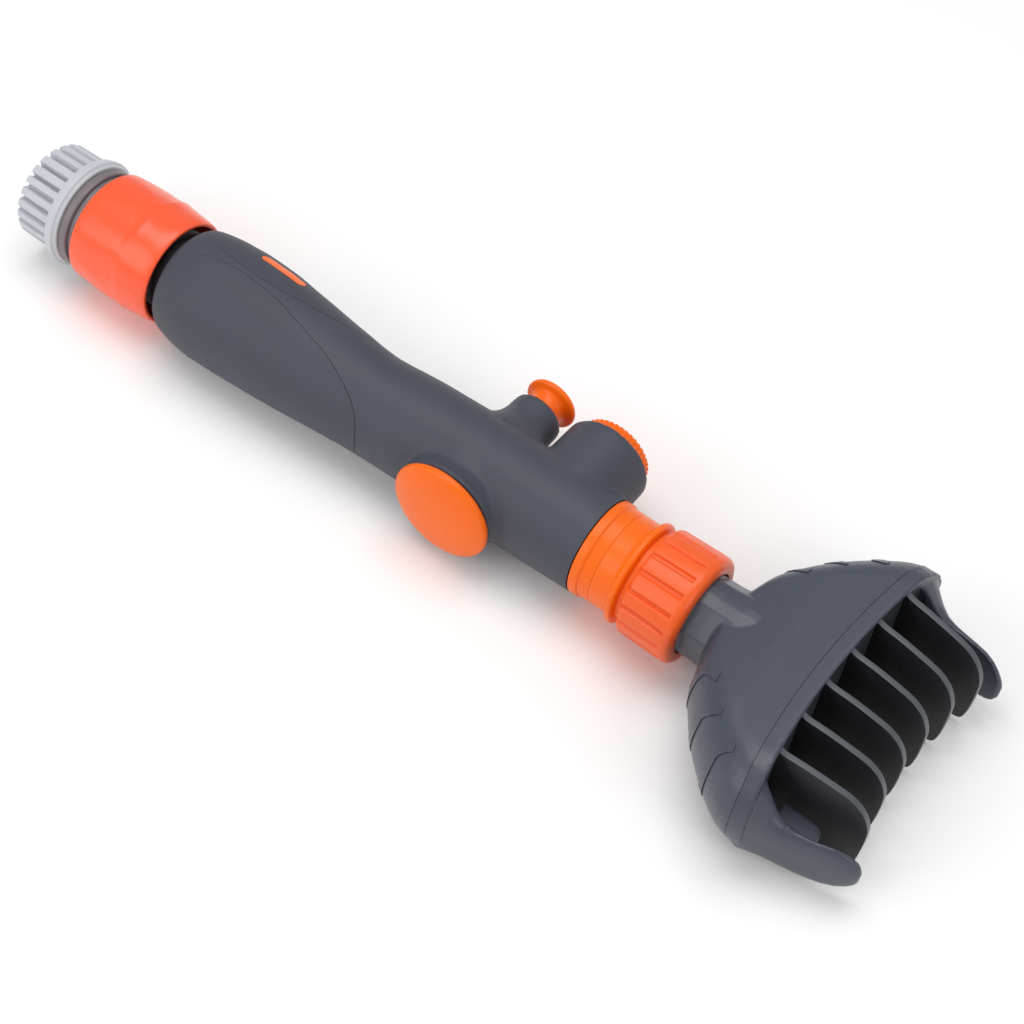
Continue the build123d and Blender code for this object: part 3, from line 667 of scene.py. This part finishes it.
slot_outline = [(flow_x + along * slot_reach, up * slot_half) for along, up in slot_corners]
cut(cap, traced("coin_slot", slot_outline, "side", 29, 32))
cut(cap, turned("spindle_socket", "Y", [(9, 3), (14, 3)], flow_x))
finished(cap, orange, "regulator", "orange", "regulator_cap")


# ---- Outlet: collar and nipple ----
# Trim collar against the grip and the outlet tube with its bead and thread, in bright orange.
# Both are turned; a fine parting line runs round the tube between them.
collar = turned(
    "outlet_collar",
    "X",
    [
        (206.6, 11.2), (206.6, 14.5), (206.9, 14.8), (209.3, 14.8), (209.6, 14.5), (209.7, 14.25),
        (213.2, 14.2),
        (213.3, 14.05), (213.3, 11.2),
    ],
    bored=True,
)
softened(collar, 0.1)
finished(collar, orange, "handle", "orange", "front_collar")
thread_x, thread_r, thread_pitch = 222.4, 13.6, 2.2
thread = [
    (thread_x + thread_pitch * turn + step, thread_r - sink)
    for turn in range(6)
    for step, sink in ((0, 0), (1.1, 0), (1.5, 0.7), (1.8, 0.7))
]
nipple = turned(
    "outlet_tube",
    "X",
    [
        (202, 5), (202, 8.2), (206.6, 8.2), (206.6, 11.2), (213.3, 11.2), (213.3, 14.05), (213.4, 14.2),
        (218.3, 14.2),
        (218.9, 14.35), (219.3, 14.8), (219.6, 15.4), (220.1, 15.8), (220.7, 15.9), (221.3, 15.75),
        (221.7, 15.2),
        (221.9, 14.4), (222.1, 13.6),
    ]
    + thread
    + [(236.2, 13.6), (236.2, 8), (220.6, 8), (216.6, 5)],
    bored=True,
)
softened(nipple, 0.08)
finished(nipple, orange, "handle", "orange", "outlet_nipple")


# ---- Union nut ----
# Fluted nut that clamps the comb head's flange, moulded in a redder orange.
# Turned; narrow flutes are pressed in from the rear and stop before its rounded front band.
nut_orange = moulded("nut_orange", (0.9, 0.115, 0.014), 0.32, cloud=0.05, grain=0.008, shine=0.4)
flutes = 18
flute_points = 12
union = turned(
    "union_nut_fluted",
    "X",
    [
        (224, 14.0), (224, 15.6), (224.2, 16.1), (224.7, 16.4), (225.2, 16.5), (238.0, 16.78),
        (238.3, 16.8),
        (239.2, 16.8), (240.1, 16.55), (240.8, 16.0), (241.2, 15.2), (241.3, 14.4), (241.3, 12.7),
        (240, 12.7), (240, 14.0),
    ],
    sides=flutes * flute_points,
    bored=True,
)
flute_end_x, flute_foot_r, flute_sink = 238.15, 15.9, 0.945
picked(
    union,
    lambda v: v.x < flute_end_x
    and math.hypot(v.y, v.z) > flute_foot_r
    and around(v, flutes) < 2.5 / flute_points,
)
bpy.ops.transform.resize(value=(1, flute_sink, flute_sink), center_override=(0, 0, 0))
softened(union, 0.22)
finished(union, nut_orange, "union_nut", "red_orange_nut", "union_nut")


# ---- Comb head: rear shell ----
# Neck with flat facets that opens into a wide flat fan, moulded in glossy dark grey plastic.
# Neck and fan are bridged through their sections and fused, and crisp chevron bands are raised
# on both sides.
head_grey = moulded("head_grey", (0.054, 0.062, 0.086), 0.34, cloud=0.06, grain=0.008, dust=0.04)
quadrant = [8, 16, 23, 31, 40, 49, 58, 67, 72, 78, 83, 86, 90]
neck_corners = [23, 67, 83, 97, 113, 157]
fan_line = [
    (249, 12.0, 10.6), (249.6, 13.4, 10.7), (250.2, 15.4, 10.9), (251, 18.4, 11.2), (252, 21.4, 11.5),
    (253.6, 24.6, 11.9),
    (255.8, 27.6, 12.5), (258.5, 31.2, 13.1), (261.3, 34.4, 13.7), (264, 37.3, 14.2), (267, 40.1, 14.6),
    (270.2, 42.9, 14.9), (273.5, 45.4, 15.3), (276, 47.2, 15.6), (278.5, 48.6, 15.9), (281, 49.5, 16.2),
    (283, 49.9, 16.4), (286, 50.0, 16.5),
]


def fan_ring(x, half_width, half_height, grow=0.0):
    """One section of the fan: flat above and below, rounded at both sides."""
    half_width += grow
    half_height += grow
    turn_r = half_height - 0.3
    points = []
    back = quadrant[::-1]
    for y_side, z_side, turns in ((1, 1, quadrant), (-1, 1, back), (-1, -1, quadrant), (1, -1, back)):
        if turns[0] == quadrant[0]:
            points.append((x, y_side * half_width, 0))
        for turn in turns:
            lean = math.radians(turn)
            points.append((
                x,
                y_side * (half_width - turn_r + turn_r * math.cos(lean) ** 1.08),
                z_side * (half_height - turn_r + turn_r * math.sin(lean)),
            ))
    return points


def neck_ring(x, radius):
    """One section of the neck: a round bar with flat facets between its corners."""
    corners = sorted(neck_corners + [360 - corner for corner in neck_corners])
    points = []
    for turn in range(0, 360, 4):
        after = next((c for c in corners if c > turn), corners[0] + 360)
        before = max([c for c in corners if c <= turn] or [corners[-1] - 360])
        half_span = math.radians(after - before) / 2
        off_middle = math.radians(turn) - math.radians(after + before) / 2
        reach = radius * math.cos(half_span) / math.cos(off_middle)
        points.append((x, -reach * math.cos(math.radians(turn)), reach * math.sin(math.radians(turn))))
    return points


def bridged(name, rings):
    """A solid skin bridged over rings of points, each ring traced corner by corner, closed at both ends."""
    only()
    for number, ring in enumerate(rings):
        bpy.ops.mesh.primitive_plane_add(size=0.1 * mm, location=[distance * mm for distance in ring[0]])
        if number == 0:
            piece = bpy.context.object
            piece.name = name
            bpy.ops.object.transform_apply(location=True, rotation=True, scale=True)
            bpy.ops.object.mode_set(mode="EDIT")
            bpy.ops.mesh.select_mode(type="VERT")
            bpy.ops.mesh.select_all(action="SELECT")
        bpy.ops.mesh.merge(type="CENTER")
        for last, corner in zip(ring, ring[1:] + ring[:1]):
            bpy.ops.mesh.extrude_region_move(
                TRANSFORM_OT_translate={"value": [(b - a) * mm for a, b in zip(last, corner)]}
            )
        bpy.ops.mesh.select_linked()
        bpy.ops.mesh.remove_doubles(threshold=1e-6)
    bpy.ops.mesh.select_all(action="SELECT")
    bpy.ops.mesh.bridge_edge_loops()
    bpy.ops.mesh.select_all(action="SELECT")
    bpy.ops.mesh.fill_holes(sides=0)
    bpy.ops.mesh.select_all(action="SELECT")
    bpy.ops.mesh.normals_make_consistent(inside=False)
    bpy.ops.object.mode_set(mode="OBJECT")
    return piece


def band(line, half):
    """The outline of a narrow band along a line."""
    left, right = [], []
    for i, point in enumerate(line):
        before, after = line[max(i - 1, 0)], line[min(i + 1, len(line) - 1)]
        run = math.hypot(after[0] - before[0], after[1] - before[1])
        across = (-(after[1] - before[1]) / run * half, (after[0] - before[0]) / run * half)
        left.append((point[0] + across[0], point[1] + across[1]))
        right.append((point[0] - across[0], point[1] - across[1]))
    return left + right[::-1]


seam_x, seam_r = 277.4, 240
seam_gap = 0.07
chevron_half, chevron_rise = 1.05, 0.35
chevrons = [
    (21, [(258.8, 13.6), (256.4, 12.4), (253.9, 10.0), (252.8, 5.3)]),
    (30, [(265.3, 13.9), (263.4, 12.4), (261.0, 9.0), (260.7, 5.6)]),
    (37, [(273.9, 14.3), (272.1, 12.8), (270.4, 10.1), (270.4, 7.0)]),
]
neck_stations = [(239.7, 12.45), (246, 12.5), (250, 12.9), (253, 13.2), (256, 13.2), (259, 12.8), (262, 12.0)]
neck = bridged("neck", [neck_ring(x, radius) for x, radius in neck_stations])
flange = turned("flange", "X", [(238.4, 13.5), (239.6, 13.5), (239.75, 12.3), (241, 12.3)])
fan = bridged("fan", [fan_ring(*station) for station in fan_line])
raised = bridged("raised", [fan_ring(*station, grow=chevron_rise) for station in fan_line])
ribs = []
for start_y, line in chevrons:
    for side in (1, -1):
        low, high = sorted((side * start_y, side * 56))
        boomerang = through_points(line + [(x, -z) for x, z in line[::-1]], 4)
        ribs.append(traced("rib", band(boomerang, chevron_half), "side", low, high))
only(*ribs)
bpy.ops.object.join()
rib_set = bpy.context.object
cut(rib_set, raised, "INTERSECT")
shell = cut(fused("head_shell", [neck, flange, fan], 0.5, 2), rib_set, "UNION")


def seam_drum(ahead):
    """The upright drum whose near wall is the seam, moved ahead."""
    only()
    bpy.ops.mesh.primitive_cylinder_add(
        vertices=720, radius=seam_r * mm, depth=80 * mm, location=((seam_x + ahead + seam_r) * mm, 0, 0)
    )
    return bpy.context.object


inner_line = [(248, 8, 8)] + [(x, w - 2.4, h - 2.4) for x, w, h in fan_line if x > 251] + [(292, 47.6, 14.1)]
cut(shell, bridged("inner", [fan_ring(*station) for station in inner_line]))
cut(shell, turned("neck_bore", "X", [(236, 8), (252, 8)]))
cut(shell, seam_drum(-seam_gap))
only(shell)
bpy.ops.object.shade_smooth_by_angle(angle=math.radians(40))
finished(shell, head_grey, "head", "head_grey", "head_rear_shell")


# ---- Comb head: front frame ----
# Front moulding in the same grey: a lip all round the opening and two cheeks swept inwards to
# round tips, with a small tab inside the near one. Fused with soft rims, then cut along the seam
# and opened in front of the jets.
lip_depth = 4.6
opening_half, opening_high, opening_round = 39.3, 15.3, 8
lip_line = [station for station in fan_line if station[0] > 265]
lips = bridged("lips", [fan_ring(*station) for station in lip_line + [(290, 49.6, 16.5)]])
cut(lips, seam_drum(lip_depth))
cheek_line = [
    # x, inner wall, top, widest, its height, bottom
    (285.5, 38.8, 12.0, 48.9, -0.8, -16.3),
    (288, 39.3, 8.7, 47.4, -1.6, -16.5),
    (291, 39.7, 4.6, 45.6, -2.6, -16.5),
    (294, 39.9, 2.1, 44.3, -4.0, -16.5),
    (297.5, 39.9, 1.5, 43.2, -5.0, -16.5),
    (301, 39.5, 1.5, 42.4, -5.5, -16.4),
    (304.5, 38.8, 1.8, 41.6, -6.0, -16.2),
    (308, 37.9, 1.9, 40.8, -6.5, -15.7),
    (311, 36.9, 1.2, 39.9, -7.0, -14.7),
    (313.4, 36.0, -0.4, 39.0, -7.2, -13.3),
    (315.1, 35.5, -2.4, 38.2, -7.4, -11.4),
    (316, 35.8, -4.6, 37.4, -7.4, -9.4),
]
arc_turns = [math.radians(turn) for turn in (72, 58, 45, 32, 20, 9, 0, -9, -20, -32, -45, -58, -72)]


def cheek_ring(side, x, inner, top, widest, widest_z, bottom):
    """One section of a cheek: straight inner wall, bulged outer wall and round rims."""
    reach = widest - inner - 0.3
    points = [(inner, bottom + 0.9), (inner, top - 0.9), (inner + 0.25, top - 0.25)]
    for turn in arc_turns:
        height = top - widest_z if turn > 0 else widest_z - bottom
        swell = math.copysign(abs(math.sin(turn)) ** 0.85, turn)
        points.append((widest - reach + reach * math.cos(turn) ** 0.85, widest_z + height * swell))
    points.append((inner + 0.25, bottom + 0.25))
    return [(x, side * y, z) for y, z in points]


def cheek_root(side, x):
    """One section of a cheek where it leaves the fan, round outside and straight inside."""
    round_y, round_r = 33.8, 16.15
    points = [(38.2, -13), (38.2, 13), (38.4, 14.6)]
    points += [(round_y + round_r * math.cos(turn), round_r * math.sin(turn)) for turn in arc_turns]
    points.append((38.4, -14.6))
    return [(x, side * y, z) for y, z in points]


cheek_roots = (278.6, 281.2, 283.6)
cheeks = [
    bridged(
        "cheek",
        [cheek_root(side, x) for x in cheek_roots] + [cheek_ring(side, *station) for station in cheek_line],
    )
    for side in (1, -1)
]
tab_x, tab_y, tab_round = 299.5, -36, 3
tab_corner = [
    (tab_x + tab_round * math.sin(math.radians(turn)), tab_y + tab_round * math.cos(math.radians(turn)))
    for turn in range(90, -1, -15)
]
tab_outline = [(290, -41), (301, -41)] + tab_corner + [(290, -33)]
tab = traced("tab", tab_outline, "plan", -4.8, -2.2)
comb_frame = fused("comb_frame_moulding", [lips, tab] + cheeks, 0.5, 3)
behind = traced(
    "behind",
    [(240, -60)] + [
        (seam_x + seam_gap + seam_r - math.sqrt(seam_r**2 - y**2), y) for y in range(-60, 61, 1)
    ] + [(240, 60)],
    "plan",
    -40,
    40,
)
cut(comb_frame, behind)
opening = traced(
    "opening",
    [
        (
            side_y * (opening_half - opening_round + opening_round * math.cos(math.radians(turn))),
            side_z * (opening_high - opening_round + opening_round * math.sin(math.radians(turn))),
        )
        for side_y, side_z, turns in (
            (1, 1, range(0, 91, 15)),
            (-1, 1, range(90, -1, -15)),
            (-1, -1, range(0, 91, 15)),
            (1, -1, range(90, -1, -15)),
        )
        for turn in turns
    ],
    "rear",
    250,
    287,
)
cut(comb_frame, opening)
only(comb_frame)
bpy.ops.object.shade_smooth_by_angle(angle=math.radians(40))
finished(comb_frame, head_grey, "head", "head_grey", "comb_frame")


# ---- Comb head: fins ----
# Six thin upright fins that comb the pleats of a filter, moulded in grey.
# Each is a traced side outline pulled to its thickness, with eased edges, and leans in plan
# towards the point where all six would meet. Their side faces carry painted shade: a far darker
# copy of the grey that stands in for the shade between the fins. Their edges carry a lighter copy,
# painted light where light catches them.
# Two copies of one grey: a lighter one, painted light on the fins' edges, and a far darker one, painted shade
# on their sides.
fin_edge_grey_painted_light = moulded("fin_edge_grey_painted_light", (0.075, 0.082, 0.095), 0.38, cloud=0.06, grain=0.01, dust=0.02)
fin_side_painted_shade = moulded("fin_side_painted_shade", (0.011, 0.012, 0.015), 0.5, cloud=0.08, grain=0.01)
fin_count, fin_pitch, fin_thick, fin_root = 6, 12.58, 1.8, 4.0
comb_r, comb_x, comb_meet = 144, 308.6, 334
fins = []
for number in range(fin_count):
    y = (number - (fin_count - 1) / 2) * fin_pitch
    root = seam_x + fin_root + y * y / (2 * seam_r)
    front = comb_x + y * y / (2 * comb_r)
    edge = through_points(
        [
            (root, 16.0), (root + 1.2, 15.1), (root + 3, 14.6), (root + 9, 14.0), (front - 9.5, 12.4),
            (front - 5.5, 10.9),
            (front - 2.5, 8.1), (front - 0.6, 4.2), (front, 0.6), (front, -6.0), (front - 0.4, -12.2),
            (front - 1.4, -15.2), (front - 3.4, -16.1),
        ],
        4,
    )
    fin = traced("fin", edge + [(root + 4, -16), (root, -15.3)], "side", y - fin_thick / 2, y + fin_thick / 2)
    softened(fin, 0.35, angle=50)
    only(fin)
    bpy.ops.object.mode_set(mode="EDIT")
    bpy.ops.mesh.select_all(action="SELECT")
    bpy.ops.transform.rotate(
        value=math.atan2(y, comb_meet), orient_axis="Z", center_override=(root * mm, y * mm, 0)
    )
    bpy.ops.object.mode_set(mode="OBJECT")
    fins.append(fin)
only(*fins)
bpy.ops.object.join()
comb = bpy.context.object
comb.name = "comb_fin_set"
# The fins take the lighter copy of the grey, painted light on their edges, and a far darker copy, painted shade
# on the faces that look along their thickness, for the shade between the fins.
finished(comb, fin_edge_grey_painted_light, "head", "head_dark", "comb_fins")
comb.data.materials.append(fin_side_painted_shade)
# Faces that look along the fins' thickness take the painted shade.
for face in comb.data.polygons:
    if abs(face.normal.y) > 0.9:
        face.material_index = 1


# ---- Parts left as they are ----
# Inner pieces and small fittings keep their own shape and take the finish of their material.
wall_grey = moulded("wall_grey", (0.034, 0.042, 0.047), 0.45, cloud=0.08, grain=0.01)
black_plastic = moulded("black_plastic", (0.016, 0.016, 0.017), 0.45, cloud=0.1, grain=0.01)
rubber = moulded("rubber", (0.018, 0.018, 0.019), 0.7, cloud=0.12, grain=0.03, dust=0.03)
core_white = moulded("core_white", (0.45, 0.46, 0.48), 0.5, cloud=0.04, grain=0.02)


def metal(name, colour, roughness):
    """Bare metal with fine drawing lines and a faint stain."""
    paint = moulded(name, colour, roughness, cloud=0.12, grain=0.01, grain_size=0.1, gloss_change=0.15)
    paint.node_tree.nodes["Principled BSDF"].inputs["Metallic"].default_value = 1
    return paint


steel = metal("steel", (0.55, 0.56, 0.57), 0.3)
brass = metal("brass", (0.62, 0.42, 0.16), 0.32)
finish_of = {
    wall_grey: ["nozzle_plate"],
    black_plastic: ["inlet_spigot", "valve_spool"],
    rubber: ["connector_seal", "spigot_o_ring", "spool_seals", "regulator_seal", "union_washer", "head_gasket"],
    core_white: ["hose_collet", "handle_core", "regulator_seat"],
    steel: ["lock_claw_1", "lock_claw_2", "lock_claw_3"],
    brass: ["regulator_spindle"],
}
for paint, names in finish_of.items():
    for name in names:
        frame["nodes"][name].data.materials.clear()
        frame["nodes"][name].data.materials.append(paint)


# ---- Sleeve spring ----
# Light steel coil behind the sleeve's inner step, seated on the connector's shoulder.
spring = copied(frame["nodes"]["sleeve_spring"], "sleeve_spring_coil")
spring.parent = None
only(spring)
bpy.ops.object.mode_set(mode="EDIT")
bpy.ops.mesh.select_all(action="SELECT")
bpy.ops.mesh.remove_doubles(threshold=1e-6)
bpy.ops.object.mode_set(mode="OBJECT")
bpy.ops.object.shade_smooth_by_angle(angle=math.radians(40))
finished(spring, steel, "connector", "steel", "sleeve_spring")
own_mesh(spring)
